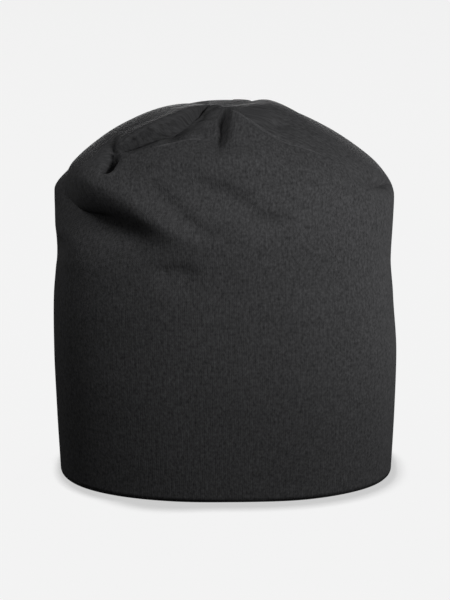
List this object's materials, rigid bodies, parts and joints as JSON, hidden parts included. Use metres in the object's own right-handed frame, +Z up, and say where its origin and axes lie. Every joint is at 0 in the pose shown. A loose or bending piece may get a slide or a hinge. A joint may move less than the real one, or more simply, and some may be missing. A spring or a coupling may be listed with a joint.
{
  "type": "jersey beanie",
  "caption": "Slouchy beanie of doubled black jersey, open below, with a plain folded hem and darts that meet in a gathered point on top.",
  "frame": {"origin": "middle of the opening's bounding box, on the surface that the hem rests on", "axes": "+Z up from the hem to the point, -Y towards the forehead side, +X to the right of someone who faces that side"},
  "size_m": [0.2131, 0.15, 0.236],
  "materials": {
    "black_jersey": "matt heathered black cotton jersey, fine upright wales"
  },
  "bodies": {
    "root": {"jersey_shell": "black_jersey"}
  },
  "joints": []
}
